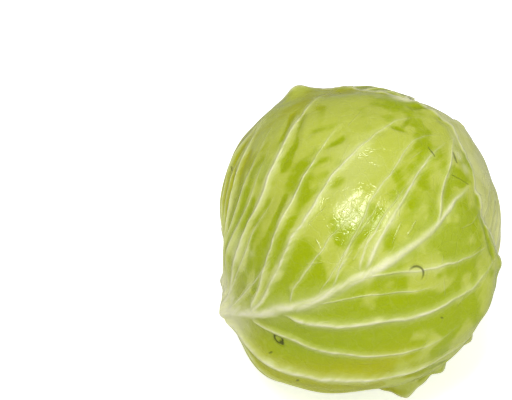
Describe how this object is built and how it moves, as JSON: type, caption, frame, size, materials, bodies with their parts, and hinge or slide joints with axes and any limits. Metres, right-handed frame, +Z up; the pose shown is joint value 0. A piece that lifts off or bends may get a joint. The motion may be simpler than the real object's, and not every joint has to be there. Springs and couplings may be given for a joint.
{
  "type": "white cabbage",
  "caption": "Round white cabbage lying on its side: packed heart, wrapper and crown leaves with raised midribs, and a short cut stalk.",
  "frame": {"origin": "centre of the small flat spot that the head rests on", "axes": "+Z up; -X level in the direction that the stalk points, which hangs 20 degrees below level; -Y the side that the front wrapper leaf covers"},
  "size_m": [0.1732, 0.1875, 0.1781],
  "materials": {
    "heart_leaf": null,
    "crown_leaf": "pale green leaf blade with cream veins, satin wax bloom; plant tissue",
    "wrapper_leaf": "yellow-green leaf blade with cream-white ribs and veins, satin wax gloss; plant tissue",
    "stalk": "cream cut stalk, moist and fibrous; plant tissue"
  },
  "bodies": {
    "root": {"heart": "heart_leaf", "far_crown_leaf": "crown_leaf", "near_crown_leaf": "crown_leaf", "back_wrapper_leaf": "wrapper_leaf", "side_wrapper_leaf": "wrapper_leaf", "top_wrapper_leaf": "wrapper_leaf", "under_wrapper_leaf": "wrapper_leaf", "front_wrapper_leaf": "wrapper_leaf", "stalk": "stalk"}
  },
  "joints": []
}
